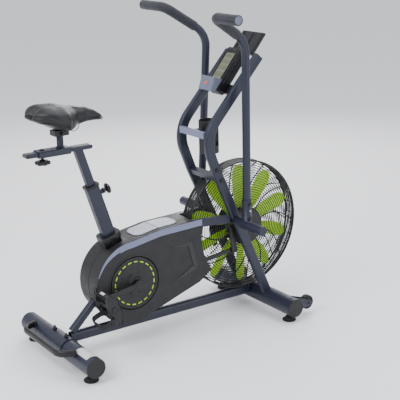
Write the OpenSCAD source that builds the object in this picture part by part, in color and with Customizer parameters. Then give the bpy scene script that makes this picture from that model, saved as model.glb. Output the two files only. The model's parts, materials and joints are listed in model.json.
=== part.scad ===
// Upright air bike with a caged fan, moving arm levers and a saddle on a sliding post.
// X is to the rider's right, Y is forwards and Z is up. The floor is Z = 0.
// Distances along Y are measured from the rear stabiliser, then place() centres the machine.

/* [Frame] */
// Distance between the two stabilisers
wheelbase = 925; // [900:1:950]
// Length of each stabiliser
stab_len = 550; // [500:10:600]
// Diameter of the stabiliser tube
stab_d = 76; // [74:1:78]
// Height of the stabiliser axis above the floor
stab_z = 64.5; // [62:0.5:68]
// Wall of the frame tubes
wall = 2; // [1.5:0.5:2.5]
// Height of the lower rail tube
rail_h = 44; // [38:1:46]
// Inner face of the legs and masts, from the middle
leg_x = 84; // [82:1:90]
// Width of a leg or mast tube
mast_w = 25; // [20:1:26]
// Depth of a leg or mast tube
mast_d = 40; // [34:1:42]

/* [Fan] */
// Outer radius of the fan cage
cage_r = 273; // [268:1:275]
// Half the width of the cage at its rim
cage_rim_x = 30; // [28:1:32]
// Half the width of the cage at its hub
cage_hub_x = 53; // [50:1:54]
// Radius of the fan to its blade tips
fan_r = 252; // [230:1:256]
// Number of fan blades
blade_count = 10; // [6:1:12]
// Lean of the fan blades from the axle
blade_lean = 72; // [60:1:76]
// Number of wire rings on each side of the cage
wire_rings = 5; // [4:1:8]
// Number of ribs on each side of the cage
cage_ribs = 10; // [6:1:12]

/* [Drive] */
// Length of a crank arm between its centres
crank_len = 170; // [165:1:172]
// Angle of the right crank arm below level, pointing rearwards
crank_dip = 9; // [0:1:20]
// Radius of the drive pulley
pulley_r = 95; // [80:1:98]
// Radius of the fan pulley
fan_pulley_r = 22; // [20:1:26]

/* [Covers] */
// Half the width of the covers
cover_x = 70; // [69:0.5:71]
// Radius of the covers round the crank
cover_r = 164; // [160:1:164]

/* [Seat] */
// Angle of the seat post from upright
post_lean = 17.1; // [15:0.1:19]
// Length of the seat post
post_len = 330; // [300:5:340]

/* [Levers] */
// Rest lean of the right lever
lean_right = 0.3; // [0:0.1:1]
// Rest lean of the left lever
lean_left = 3.7; // [3:0.1:4]
// Distance of the upright tube from the middle
lever_x = 162; // [158:1:166]
// Diameter of the lever tube
lever_d = 32; // [28:1:32]
// Diameter of the foam grips
grip_d = 39; // [36:1:42]

/* [Hidden] */
$fn = 64;
y_mid = 511.5;
axis_crank = [0, 294, 262];
axis_fan = [0, 847, 378];
axis_lever = [0, 755, 430];
lug_down = 134;
seat_ref = [0, 171, 636];
seam = [0, 676, 632];
bend_r = 137;
bend_vertex = [0, 613.8, 784.4];
lean_leg = 23.7;
lean_mast = 42.2;
bend_tangent = bend_r * tan((lean_leg + lean_mast) / 2);
mast_len = 308;
console_ref = [0, 715, 962];
console_lean = 39.8;
stab_r = stab_d / 2;
mast_x = leg_x + mast_w / 2;
saddle_z = 884;
// Bends stand a hair proud of the straight runs, which reach a little way into them
weld = 0.4;
reach = 0.8;

// ---- helpers ----
// Puts the machine's middle on the origin
module place() translate([0, -y_mid, 0]) children();
// Right side as drawn, left side mirrored
module sided(side) {
  if (side > 0) children();
  else mirror([1, 0, 0]) children();
}
module both() for (side = [1, -1]) sided(side) children();
// Rectangle with true round corners
module rrect(w, d, r) {
  square([w - 2 * r, d], center = true);
  square([w, d - 2 * r], center = true);
  for (sx = [-1, 1], sy = [-1, 1]) translate([sx * (w / 2 - r), sy * (d / 2 - r)]) circle(r);
}
// Section of a rounded tube
module tube_section(w, d, r) difference() {
  rrect(w, d, r);
  rrect(w - 2 * wall, d - 2 * wall, r - wall);
}
// Round bar between two points
module rod(a, b, r) {
  v = b - a;
  translate(a) rotate([0, acos(v[2] / norm(v)), atan2(v[1], v[0])]) cylinder(r = r, h = norm(v));
}
// Frame that runs from a point, leaning forwards in the YZ plane
module leaning(p, lean) translate(p) rotate([-lean, 0, 0]) children();
// Cylinder along X between two X values, at a point of the YZ plane
module across(p, x0, x1, r) translate([x0, p[1], p[2]]) rotate([0, 90, 0]) cylinder(r = r, h = x1 - x0);
// Straight tube of rounded section between two points of one YZ plane
module bar(a, b, w, d, r) {
  v = b - a;
  leaning(a, atan2(v[1], v[2])) linear_extrude(norm(v)) tube_section(w, d, r);
}
// Shape drawn in Y and Z, extruded along X between two values
module slab(x0, x1) translate([x0, 0, 0]) rotate([90, 0, 90]) linear_extrude(x1 - x0) children();
// Point of the crank circle at an angle below rearward level
function crank_point(a, r) = [axis_crank[1] - r * cos(a), axis_crank[2] - r * sin(a)];

// ---- stabilisers ----
module stabiliser(y) difference() {
  across([0, y, stab_z], -stab_len / 2, stab_len / 2, stab_r);
  across([0, y, stab_z], -stab_len / 2 - 1, stab_len / 2 + 1, stab_r - wall);
}
module rear_stabiliser() color([0.2, 0.21, 0.26]) stabiliser(0);
module front_stabiliser() color([0.2, 0.21, 0.26]) {
  stabiliser(wheelbase);
  wheel_brackets();
}
module stabiliser_caps() color([0.12, 0.12, 0.13]) for (y = [0, wheelbase]) both() {
  across([0, y, stab_z], stab_len / 2, stab_len / 2 + 4, stab_r);
  across([0, y, stab_z], stab_len / 2 - 16, stab_len / 2, stab_r - wall - 0.2);
}
module levelling_feet() color([0.06, 0.06, 0.06]) for (y = [0, wheelbase]) both() {
  translate([233, y, 0]) cylinder(d = 56, h = 7);
  translate([233, y, 7]) cylinder(d = 40, h = 7);
  translate([233, y, 14]) cylinder(d = 16, h = stab_z - stab_r - 14);
}
// Bent carrying handle behind the rear stabiliser
handle_r = 11;
handle_bend = 40;
handle_turn = 65;
module carry_handle() color([0.1, 0.1, 0.11]) {
  bend = [120, -46, 96];
  arc_end = bend + handle_bend * [sin(handle_turn), -cos(handle_turn), 0];
  run = [cos(handle_turn), sin(handle_turn), 0];
  across([0, bend[1] - handle_bend, bend[2]], -bend[0] - reach, bend[0] + reach, handle_r);
  both() {
    translate(bend) rotate([0, 0, -90]) rotate_extrude(angle = handle_turn)
      translate([handle_bend, 0]) circle(handle_r + weld);
    rod(arc_end - run * reach, arc_end + run * 44, handle_r);
  }
}
module clamp_plate() color([0.16, 0.17, 0.21]) {
  difference() {
    across([0, 0, stab_z], -70, 70, stab_r + 4);
    across([0, 0, stab_z], -71, 71, stab_r);
    translate([-80, -60, 0]) cube([160, 120, stab_z]);
  }
}
module frame_bolts() color([0.08, 0.08, 0.08]) {
  for (x = [-48, 48]) translate([x, 0, stab_z + stab_r + 4]) cylinder(d = 17, h = 9, $fn = 6);
  for (x = [-48, 48]) translate([x, 0, stab_z + stab_r + 13]) cylinder(d = 9, h = 8);
  both() for (s = [-24, 26])
    leaning([0, seam[1], seam[2]] , -lean_leg) across([0, 0, s], leg_x + mast_w, leg_x + mast_w + 6, 8);
}
// Rail between the stabilisers and the strut up to the centre frame
module lower_rail() color([0.2, 0.21, 0.26]) {
  rear_strut();
  translate([0, stab_r + 0.1, stab_z + 15.5]) rotate([-90, 0, 0])
    linear_extrude(wheelbase - 2 * stab_r - 0.2) tube_section(30, rail_h, 14);
}
module rear_strut()
  bar([0, 48, 102], [0, 196, 246], 30, 24, 5);

// ---- centre frame inside the covers ----
shell_r = 24;
module inner_frame() color([0.2, 0.21, 0.26]) difference() {
  union() {
    across(axis_crank, -25, 25, shell_r);
    bar([0, 176, 262], [0, 276, 262], 28, 28, 4);
    bar([0, 308, 276], [0, 560, 430], 28, 34, 4);
    across([0, 566, 436], -54, 54, 14);
  }
  across(axis_crank, -26, 26, 10.06);
}
module seat_tube() color([0.2, 0.21, 0.26]) {
  pin_housing();
  difference() {
    on_post(-365) linear_extrude(385) tube_section(42, 52, 10);
    across(axis_crank, -30, 30, shell_r);
    pin_axis() translate([0, 0, 10]) cylinder(r = 6.3, h = 40);
  }
}
// Frame of the seat tube's slide, along the post
module on_post(s) leaning(seat_ref, -post_lean) translate([0, 0, s]) children();
// Frame of the pull pin, square to the post and pointing forwards
module pin_axis() on_post(-17) rotate([-90, 0, 0]) children();
module tube_collar() color([0.1, 0.1, 0.11]) {
  on_post(20) linear_extrude(8) difference() {
    rrect(48, 58, 12);
    rrect(31, 33, 6);
  }
  on_post(-30) linear_extrude(50) difference() {
    rrect(37.6, 47.6, 8);
    rrect(31, 33, 6);
    translate([0, 20]) square([14, 20], center = true);
  }
}
module tube_boot() color([0.07, 0.07, 0.08]) difference() {
  union() {
    on_post(-205) linear_extrude(22) rrect(74, 84, 20);
    on_post(-250) linear_extrude(45) rrect(66, 76, 16);
  }
  on_post(-260) linear_extrude(90) rrect(42.4, 52.4, 10);
  cover_block(-60, 60, -0.2);
}

// ---- legs and masts ----
// Leg from the front stabiliser to the seam
module leg() translate([mast_x, 0, 0]) difference() {
  bar([0, wheelbase - 12, stab_z + 27], [0, seam[1], seam[2]], mast_w, mast_d, 8);
  across(axis_lever, -20, 20, 16.1);
  across([0, wheelbase, stab_z], -40, 40, stab_r);
}
module legs() color([0.2, 0.21, 0.26]) both() leg();
// Mast with one wide bend, parallel to the console at its top
module mast() {
  low = bend_vertex + bend_tangent * [0, sin(lean_leg), -cos(lean_leg)];
  high = bend_vertex + bend_tangent * [0, sin(lean_mast), cos(lean_mast)];
  translate([mast_x, 0, 0]) {
    bar([0, seam[1], seam[2]], low + reach * [0, -sin(lean_leg), cos(lean_leg)], mast_w, mast_d, 8);
    translate([0, low[1] + bend_r * cos(lean_leg), low[2] + bend_r * sin(lean_leg)])
      rotate([0, 90, 0]) rotate([0, 0, -90 - lean_mast]) rotate_extrude(angle = lean_leg + lean_mast)
        translate([bend_r, 0]) rotate(90) tube_section(mast_w + 2 * weld, mast_d + 2 * weld, 8 + weld);
    leaning(high, lean_mast) translate([0, 0, -reach]) linear_extrude(mast_len + reach)
      tube_section(mast_w, mast_d, 8);
    leaning(high, lean_mast) translate([0, 0, mast_len]) linear_extrude(4) rrect(mast_w, mast_d, 8);
  }
}
module masts() color([0.2, 0.21, 0.26]) both() mast();
module mast_bars() color([0.4, 0.42, 0.5]) {
  translate([-leg_x, 621, 783]) cube([2 * leg_x, 14, 26]);
  leaning([0, seam[1] + 5, seam[2] - 14], -lean_leg) cube([2 * leg_x, 24, 24], center = true);
  leaning(console_ref, console_lean) translate([-leg_x, 45, 12]) cube([2 * leg_x, 12, 40]);
}
// Flat tube from the covers to the leg
side_a = [52, 562, 441];
side_b = [92, 752, 449];
module side_tube_shape(grow) {
  turn = atan2(side_b[0] - side_a[0], side_b[1] - side_a[1]);
  run = norm(side_b - side_a);
  translate(side_a) rotate([0, 0, -turn]) translate([-8 - grow, 0, -16 - grow])
    cube([16 + 2 * grow, run, 32 + 12 * grow]);
}
module side_tube() difference() {
  side_tube_shape(0);
  across(axis_lever, 60, 120, 22.1);
}
module side_tubes() color([0.2, 0.21, 0.26]) both() side_tube();
// Plates that carry the fan axle
module fan_brackets() color([0.14, 0.14, 0.16]) both() difference() {
  slab(78, leg_x) {
    translate([axis_fan[1], axis_fan[2]]) circle(22);
    polygon([[axis_fan[1], axis_fan[2] + 22], [776, 400], [800, 340], [axis_fan[1], axis_fan[2] - 22]]);
  }
  across(axis_fan, 70, 90, 8);
}
// Bushes in the legs that the lever axles turn in
module lever_bushes() color([0.3, 0.3, 0.32]) both() difference() {
  union() {
    across(axis_lever, leg_x, leg_x + mast_w, 16);
    across(axis_lever, leg_x + mast_w, leg_x + mast_w + 2, 21);
    across(axis_lever, leg_x - 4, leg_x, 21);
  }
  across(axis_lever, 60, 130, 12.55);
}
bottle = [0, 704, 704];
module bottle_cage() color([0.06, 0.06, 0.07]) {
  translate(bottle) difference() {
    cylinder(r = 40, h = 132);
    translate([0, 0, 5]) cylinder(r = 37, h = 140);
    for (a = [30, 150, 210, 330]) rotate([0, 0, a]) translate([20, -13, 30]) cube([40, 26, 78]);
  }
  translate([-14, 635, 786]) cube([28, bottle[1] - 39 - 635, 20]);
}

// ---- covers ----
// Radius of the covers' front edge, round the fan axis
cover_front_r = 236;
// Body bounded by the covers' outline between two X values, shrunk by an inset
module cover_block(x0, x1, inset) difference() {
  union() {
    across(axis_crank + [0, 0, 6], x0, x1, cover_r - inset);
    slab(x0, x1) polygon([[272, 429 - inset], [420, 453 - inset], [660, 460 - inset], [700, 267 + inset],
      [596, 197 + inset * 1.1], [352, 117 + inset * 1.1]]);
  }
  across(axis_fan, x0 - 1, x1 + 1, cover_front_r + inset);
}
module cover_side() difference() {
  cover_block(cover_x - 4, cover_x, 0);
  across(axis_crank, 60, 80, 107);
  side_tube_shape(1);
  // sunken panel towards the front
  slab(cover_x - 1.5, cover_x + 1) polygon([[461, 368], [560, 371], [584, 261], [486, 240]]);
}
module cover_right() color([0.17, 0.165, 0.18]) sided(1) cover_side();
module cover_left() color([0.17, 0.165, 0.18]) sided(-1) cover_side();
// Band between the side covers, open at the front for the cage
module cover_band() color([0.15, 0.15, 0.16]) difference() {
  cover_block(-cover_x + 4, cover_x - 4, 0);
  cover_block(-cover_x, cover_x, 3);
  across(axis_fan, -67, 67, cage_r + 8);
  leaning([0, 48, 102], atan2(148, 144)) translate([-16, -13, 0]) cube([32, 26, 200]);
  on_post(-300) translate([-21.5, -26.5, 0]) cube([43, 53, 200]);
}
// Bright strip along the upper edge of each side cover
trim_w = 25;
module cover_trims() color([0.5, 0.52, 0.62]) both() difference() {
  intersection() {
    cover_block(cover_x, cover_x + 2, 1);
    translate([60, 236, 380]) cube([20, 400, 90]);
  }
  translate([0, 0, -trim_w]) cover_block(cover_x - 1, cover_x + 3, 1);
  across(axis_fan, cover_x - 1, cover_x + 3, cover_front_r + 3);
  side_tube_shape(1);
}
module tread_pads() color([0.78, 0.78, 0.84])
  translate([0, 420, 453.2]) {
    rotate([1.67, 0, 0]) linear_extrude(3) intersection() {
      rrect(92, 196, 30);
      translate([-60, 2]) square([120, 140]);
    }
    rotate([9.5, 0, 0]) linear_extrude(3) intersection() {
      rrect(92, 196, 30);
      translate([-60, -104]) square([120, 103]);
    }
  }

// ---- fan and cage ----
hub_r = 76;
function cage_x(r) = cage_hub_x - (r - hub_r) * (cage_hub_x - cage_rim_x) / (cage_r - 3 - hub_r);
// Way through the cage for the belt
module belt_notch() translate([22, -300, -126]) cube([30, 184, 162]);
module cage_side(notch) translate([0, axis_fan[1], axis_fan[2]]) difference() {
  union() {
    for (i = [0:wire_rings]) let (r = hub_r + i * (cage_r - 3 - hub_r) / wire_rings)
      translate([cage_x(r), 0, 0]) rotate([0, 90, 0]) rotate_extrude($fn = 96)
        translate([r, 0]) square(i == wire_rings ? 6 : 4, center = true);
    for (a = [0:360 / cage_ribs:359]) rotate([a + 9, 0, 0])
      rod([cage_x(hub_r), 0, hub_r], [cage_x(cage_r - 3), 0, cage_r - 3], 2.2);
  }
  if (notch > 0) belt_notch();
}
module cage_right() color([0.08, 0.08, 0.09]) sided(1) cage_side(0);
module cage_left() color([0.08, 0.08, 0.09]) sided(-1) cage_side(1);
module cage_band() color([0.08, 0.08, 0.09]) translate([0, axis_fan[1], axis_fan[2]]) difference() {
  union() {
    for (x = [-13, 0, 13]) translate([x, 0, 0]) rotate([0, 90, 0]) rotate_extrude($fn = 96)
      translate([cage_r - 3, 0]) square(4, center = true);
    for (a = [0:18:359]) rotate([a, 0, 0]) rod([-26.9, 0, cage_r - 3], [26.9, 0, cage_r - 3], 1.6);
  }
  mirror([1, 0, 0]) belt_notch();
}
module hub_covers() color([0.13, 0.13, 0.15]) both() difference() {
  across(axis_fan, cage_hub_x - 6, cage_hub_x + 5, hub_r - 2);
  across(axis_fan, cage_hub_x - 7, cage_hub_x + 2, hub_r - 4);
  across(axis_fan, 40, 80, 8);
}
module fan_axle() color([0.7, 0.7, 0.72]) {
  across(axis_fan, -96, 96, 7.9);
  both() across(axis_fan, leg_x, leg_x + 9, 12);
}
module fan_hub() color([0.1, 0.1, 0.1]) difference() {
  union() {
    across(axis_fan, -20, 24, 62);
    across(axis_fan, -46, -20, 14);
    across(axis_fan, -43, -29, fan_pulley_r);
    across(axis_fan, -46, -43, fan_pulley_r + 3);
    across(axis_fan, -29, -26, fan_pulley_r + 3);
  }
  across(axis_fan, -50, 30, 7.95);
}
module fan_blades() color([0.62, 0.8, 0.1]) translate(axis_fan)
  for (i = [0:blade_count - 1]) rotate([i * 360 / blade_count, 0, 0]) difference() {
    rotate([0, 0, blade_lean]) translate([-29, -1.5, 0]) {
      translate([0, 0, 56]) cube([58, 3, fan_r - 56 - 29]);
      translate([29, 3, fan_r - 29]) rotate([90, 0, 0]) cylinder(r = 29, h = 3);
    }
    translate([-40, 0, 0]) rotate([0, 90, 0]) cylinder(r = 62.1, h = 80);
  }

// ---- drive ----
module drive_pulley() color([0.12, 0.12, 0.13]) difference() {
  union() {
    across(axis_crank, -43, -29, pulley_r);
    across(axis_crank, -46, -43, pulley_r + 3);
    across(axis_crank, -29, -26, pulley_r + 3);
  }
  across(axis_crank, -50, -20, 10);
  for (a = [0:60:359]) rotate_about(axis_crank, a) across(axis_crank + [0, 0, 58], -50, -20, 20);
}
module rotate_about(p, a) translate(p) rotate([a, 0, 0]) translate(-p) children();
// Flat belt round both pulleys
belt_t = 3;
module belt_outline(grow) hull() {
  translate([axis_crank[1], axis_crank[2]]) circle(pulley_r + grow, $fn = 96);
  translate([axis_fan[1], axis_fan[2]]) circle(fan_pulley_r + grow, $fn = 96);
}
module drive_belt() color([0.04, 0.04, 0.04]) slab(-42, -30) difference() {
  belt_outline(belt_t);
  belt_outline(0.35);
}
pin_throw = 23.5;
// Axle with the two eccentrics that drive the rods
module crank_axle() color([0.65, 0.65, 0.68]) {
  across(axis_crank, -99, 99, 10);
  for (side = [1, -1]) sided(side) {
    across(axis_crank - [0, 0, side * pin_throw], 46, 55, 20);
    across(axis_crank, 46, 55, 24);
  }
}
// Discs that close the covers and turn with the arms
module crank_discs() color([0.14, 0.14, 0.15]) both() difference() {
  union() {
    across(axis_crank, cover_x - 3.5, cover_x + 1.5, 104);
    across(axis_crank, cover_x + 1.5, 84, 26);
  }
  across(axis_crank, 40, 100, 10);
}
// Arm that runs from the crank axle to the pedal axle
module crank_arm(turn) translate([0, axis_crank[1], axis_crank[2]]) rotate([turn, 0, 0]) difference() {
  union() {
    across([0, 0, 0], 85, 103, 19);
    across([0, -crank_len, 0], 90, 103, 15);
    translate([91, -crank_len, -11]) cube([11, crank_len, 22]);
  }
  across([0, 0, 0], 80, 110, 10);
  across([0, -crank_len, 0], 80, 110, 6.5);
}
module crank_arms() color([0.08, 0.08, 0.09]) {
  crank_arm(crank_dip);
  mirror([1, 0, 0]) crank_arm(crank_dip + 180);
}
// Pedal with its axle, two cheeks and four tread bars, drawn level
pedal_x = 161;
module pedal_body() {
  across([0, 0, 0], 108, 211, 12);
  for (x = [112, 200]) difference() {
    slab(x, x + 10) {
      intersection() {
        translate([0, -86.7]) circle(112.7);
        translate([0, 86.7]) circle(112.7);
      }
    }
    across([0, 0, 0], x - 1, x + 11, 11.9);
  }
  for (y = [-55, 55]) translate([122, y - 5, -8]) cube([78, 10, 16]);
  for (y = [-55, 55]) translate([122, y - 2, -11]) cube([78, 4, 22]);
}
module pedal(side, turn) {
  p = crank_point(turn, crank_len);
  sided(side) {
    translate([0, p[0], p[1]]) rotate([pedal_tilt, 0, 0]) difference() {
      pedal_body();
      across([0, 0, 0], 100, 206, 6.45);
    }
  }
}
pedal_tilt = 112;
module pedal_right() color([0.07, 0.07, 0.08]) pedal(1, crank_dip);
module pedal_left() color([0.07, 0.07, 0.08]) pedal(-1, crank_dip + 180);
// Toe strap: a flat loop over the pedal
module strap(side, turn) {
  p = crank_point(turn, crank_len);
  sided(side) translate([pedal_x, p[0], p[1]]) rotate([pedal_tilt, 0, 0]) translate([0, -24, 41.2])
    rotate([90, 0, 0]) linear_extrude(22) difference() {
      rrect(100, 60, 24);
      rrect(95, 55, 21.5);
    }
}
module strap_right() color([0.05, 0.05, 0.05]) strap(1, crank_dip);
module strap_left() color([0.05, 0.05, 0.05]) strap(-1, crank_dip + 180);

// ---- levers ----
// Shape of one lever in its own upright frame, with the pivot at the origin
lever_fwd = 13;
grip_out = 360;
bend_a = [lever_x, lever_fwd, 725];
bend_b = [207, -160, 830];
grip_end = [grip_out, -166, 831];
function unit(v) = v / norm(v);
// Distance from a corner to where its arc starts
function arc_cut(a, v, b, rad) = rad * tan((180 - acos(unit(a - v) * unit(b - v))) / 2);
// Round arc that joins two straight runs at a corner
module corner(a, v, b, rad, r) {
  ua = unit(a - v);
  ub = unit(b - v);
  turn = 180 - acos(ua * ub);
  centre = v + unit(ua + ub) * rad / cos(turn / 2);
  start = unit(v + ua * arc_cut(a, v, b, rad) - centre);
  n = unit(cross(ub, ua));
  tip = acos(n[2]);
  swing = atan2(n[1], n[0]);
  flat = [cos(tip) * cos(swing), cos(tip) * sin(swing), -sin(tip)];
  phase = atan2(cross(flat, start) * n, flat * start);
  translate(centre) rotate([0, tip, swing]) rotate([0, 0, phase])
    rotate_extrude(angle = turn) translate([rad, 0]) circle(r + weld);
}
function past(p, q) = q + unit(q - p) * reach;
rad_a = 95;
rad_b = 42;
tube_foot = [lever_x, lever_fwd, 22];
cut_a = arc_cut(tube_foot, bend_a, bend_b, rad_a);
cut_b = arc_cut(bend_a, bend_b, grip_end, rad_b);
arc_a_end = bend_a + unit(bend_b - bend_a) * cut_a;
arc_b_start = bend_b + unit(bend_a - bend_b) * cut_b;
arc_b_end = bend_b + unit(grip_end - bend_b) * cut_b;
// Upper tube of a lever, from the first bend to its end
module handle_path(r, start, end) {
  rod(past(start, arc_b_start), start, r);
  corner(bend_a, bend_b, grip_end, rad_b, r);
  rod(past(end, arc_b_end), end, r);
}
grip_start = arc_a_end + unit(bend_b - bend_a) * 4;
peg_end = 283;
lug_fwd = 15;
module lever_shape() {
  rod(tube_foot, bend_a - [0, 0, cut_a - reach], lever_d / 2);
  corner(tube_foot, bend_a, bend_b, rad_a, lever_d / 2);
  handle_path(lever_d / 2, past(bend_b, arc_a_end), grip_end);
  // socket with its two clamp bolts and the locking button
  translate([lever_x, lever_fwd, 8]) cylinder(r = 19.5, h = 92);
  for (z = [26, 86]) across([0, lever_fwd, z], lever_x + 17, lever_x + 25, 6);
  across([0, lever_fwd, 58], lever_x + 17, lever_x + 23, 5);
  // pivot tube that is also the foot peg, its axle and the inner arm
  across([0, 0, 0], leg_x + mast_w + 3, peg_end, 19);
  across([0, 0, 0], 62, leg_x + mast_w + 4, 12.5);
  slab(66, 73) {
    circle(19);
    translate([lug_fwd, -lug_down]) circle(13);
    polygon([[-15, 0], [15, 0], [lug_fwd + 12, -lug_down], [lug_fwd - 12, -lug_down]]);
  }
  across([0, lug_fwd, -lug_down], 55.5, 66, 6);
}
module lever(lean) leaning(axis_lever, lean) lever_shape();
module lever_right() color([0.19, 0.2, 0.25]) sided(1) lever(lean_right);
module lever_left() color([0.19, 0.2, 0.25]) sided(-1) lever(lean_left);
module grip(lean) leaning(axis_lever, lean) {
  handle_run = unit(grip_end - bend_b);
  difference() {
    handle_path(grip_d / 2, grip_start, grip_end + handle_run * 3.1);
    handle_path(lever_d / 2 + 0.1, arc_a_end, grip_end + handle_run * 0.1);
  }
}
module grip_right() color([0.1, 0.1, 0.11]) sided(1) grip(lean_right);
module grip_left() color([0.1, 0.1, 0.11]) sided(-1) grip(lean_left);
// Rod from the lever's inner arm back to the crank; its rear eye stands beside the eccentric
function lug_point(lean) = [axis_lever[1] + lug_fwd * cos(lean) - lug_down * sin(lean),
  axis_lever[2] - lug_fwd * sin(lean) - lug_down * cos(lean)];
module link(lean, rear_z) {
  p = lug_point(lean);
  a = [0, p[0], p[1]];
  b = [0, axis_crank[1], rear_z];
  difference() {
    union() {
      across(a, 57, 64, 14);
      across(b, 57, 64, 11);
      leaning(b, atan2(a[1] - b[1], a[2] - b[2])) translate([57, -8, 0]) cube([7, 16, norm(a - b)]);
    }
    across(a, 50, 70, 6.05);
    across(b, 50, 70, 6.05);
  }
}
module rod_right() color([0.12, 0.12, 0.14]) sided(1) link(lean_right, axis_crank[2] - pin_throw);
module rod_left() color([0.12, 0.12, 0.14]) sided(-1) link(lean_left, axis_crank[2] + pin_throw);

// ---- seat ----
rail_z = 804;
rail_rear = -86;
rail_front = 165;
// Post with its row of pin holes and the level rail welded on top
module seat_post() color([0.19, 0.2, 0.25]) {
  difference() {
    on_post(-150) linear_extrude(post_len) tube_section(30, 32, 6);
    translate([-50, 0, rail_z]) cube([100, 250, 60]);
    for (s = [-142:25:130]) on_post(s) rotate([-90, 0, 0]) translate([0, 0, 10]) cylinder(r = 6, h = 10);
  }
  translate([0, rail_rear, rail_z + 8]) rotate([-90, 0, 0]) linear_extrude(rail_front - rail_rear)
    tube_section(40, 16, 5);
}
module seat_slider() color([0.3, 0.31, 0.37]) {
  difference() {
    translate([0, -46, rail_z + 8]) rotate([-90, 0, 0]) linear_extrude(126) rrect(54, 25, 6);
    translate([-20.5, -50, rail_z - 0.5]) cube([41, 140, 17]);
    translate([0, -24, rail_z - 10]) cylinder(r = 5.1, h = 12);
  }
  translate([0, 50, rail_z + 20.5]) cylinder(r = 12.5, h = 48);
}
module saddle_clamp() color([0.1, 0.1, 0.1]) difference() {
  translate([-22, 22, saddle_z - 14]) cube([44, 56, 20]);
  translate([0, 50, rail_z]) cylinder(r = 12.55, h = 68.5);
}
module slider_knob() color([0.05, 0.05, 0.05]) translate([0, -24, 0]) {
  translate([0, 0, 771]) cylinder(r = 24, h = 15);
  for (a = [0:60:359]) rotate(a) translate([22, 0, 771]) cylinder(r = 7, h = 15);
  translate([0, 0, 786]) cylinder(r = 5, h = rail_z - 786 - 0.7);
}
module pin_housing() pin_axis() translate([0, 0, 25.5]) difference() {
  cylinder(r = 10, h = 10);
  translate([0, 0, -1]) cylinder(r = 6.3, h = 12);
}
module pin_knob() color([0.05, 0.05, 0.05]) pin_axis() {
  translate([0, 0, 17]) cylinder(r = 6, h = 24);
  translate([0, 0, 38]) cylinder(r = 11, h = 8);
  translate([0, 0, 46]) cylinder(r = 8, h = 6);
  translate([0, 0, 52]) rotate_extrude() polygon([[0, 0], [12, 0], [20, 5], [20, 11], [15, 16], [0, 18]]);
}
// Outline of the saddle: two rear lobes and a narrow nose
module saddle_outline(inset) {
  hull() for (side = [-1, 1]) translate([side * 30, 14]) circle(78 - inset);
  hull() {
    translate([0, 52]) circle(80 - inset);
    translate([0, 110]) circle(45 - inset);
  }
  hull() {
    translate([0, 110]) circle(45 - inset);
    translate([0, 204]) circle(26 - inset);
  }
}
module saddle_base() color([0.06, 0.06, 0.06])
  translate([0, 0, saddle_z + 6.1]) linear_extrude(16) saddle_outline(8);
module saddle_pad() color([0.06, 0.06, 0.065])
  translate([0, 0, saddle_z + 22.2]) linear_extrude(80) saddle_outline(0);

// ---- console ----
// Console frame: z runs up its face, y goes into its body
module on_console() leaning(console_ref, console_lean) children();
module button_block() translate([0, 699, 985]) rotate([-20, 0, 0]) children();
module console_body() color([0.06, 0.06, 0.07]) difference() {
  on_console() translate([0, 22.5, 96]) rotate([90, 0, 0]) translate([0, 0, -22.5]) linear_extrude(45) rrect(84, 192, 12);
  on_console() translate([-29, -1, 46]) cube([58, 3, 121]);
}
module console_lens() color([0.5, 0.52, 0.42]) on_console() translate([-28.9, 0, 46.1]) cube([57.8, 1.9, 120.8]);
module button_box() color([0.42, 0.43, 0.5]) difference() {
  button_block() translate([-43, 0, -28]) cube([86, 60, 56]);
  on_console() translate([-60, -0.1, -60]) cube([120, 120, 300]);
  button_block() translate([0, -1, 0]) rotate([-90, 0, 0]) cylinder(r = 7.3, h = 9);
}
module console_button() color([0.9, 0.3, 0.2]) button_block() translate([0, -3, 0]) rotate([-90, 0, 0])
  cylinder(r = 7, h = 7);
module device_tray() color([0.07, 0.07, 0.08]) on_console() {
  translate([-71, 40, 192.1]) cube([142, 8, 104]);
  translate([-71, 22, 192.1]) cube([142, 18, 6]);
}

// ---- wheels ----
wheel = [0, 1020, 56];
module wheel_brackets() both() {
  for (x = [208, 243]) slab(x, x + 4) difference() {
    union() {
      translate([wheel[1], wheel[2]]) circle(14);
      polygon([[wheel[1], wheel[2] + 14], [wheel[1], wheel[2] - 14], [950, 36], [950, 94]]);
    }
    translate([wheelbase, stab_z]) circle(stab_r);
  }
  across(wheel, 202, 253, 4);
}
module transport_wheel() difference() {
  union() {
    across(wheel, 216, 239, 30);
    across(wheel, 213, 242, 10);
  }
  across(wheel, 200, 260, 4.06);
}
module wheel_right() color([0.1, 0.1, 0.1]) sided(1) transport_wheel();
module wheel_left() color([0.1, 0.1, 0.1]) sided(-1) transport_wheel();

place() rear_stabiliser();
place() front_stabiliser();
place() stabiliser_caps();
place() levelling_feet();
place() carry_handle();
place() clamp_plate();
place() frame_bolts();
place() lower_rail();
place() inner_frame();
place() seat_tube();
place() tube_collar();
place() tube_boot();
place() legs();
place() masts();
place() mast_bars();
place() side_tubes();
place() fan_brackets();
place() lever_bushes();
place() bottle_cage();
place() cover_right();
place() cover_left();
place() cover_band();
place() cover_trims();
place() tread_pads();
place() cage_right();
place() cage_left();
place() cage_band();
place() hub_covers();
place() fan_axle();
place() console_body();
place() console_lens();
place() button_box();
place() device_tray();
place() fan_hub();
place() fan_blades();
place() drive_pulley();
place() drive_belt();
place() crank_axle();
place() crank_discs();
place() crank_arms();
place() pedal_right();
place() pedal_left();
place() strap_right();
place() strap_left();
place() lever_right();
place() lever_left();
place() grip_right();
place() grip_left();
place() rod_right();
place() rod_left();
place() seat_post();
place() seat_slider();
place() saddle_clamp();
place() saddle_base();
place() saddle_pad();
place() slider_knob();
place() pin_knob();
place() console_button();
place() wheel_right();
place() wheel_left();
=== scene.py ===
# Upright air bike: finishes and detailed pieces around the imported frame.
# Shapes are drawn in millimetres from the rear stabiliser's axis, as the part's source is,
# and brought to metres about the machine's middle when each piece is finished.
import json
import math

import bmesh
import bpy
from mathutils import Matrix, Vector


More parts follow.
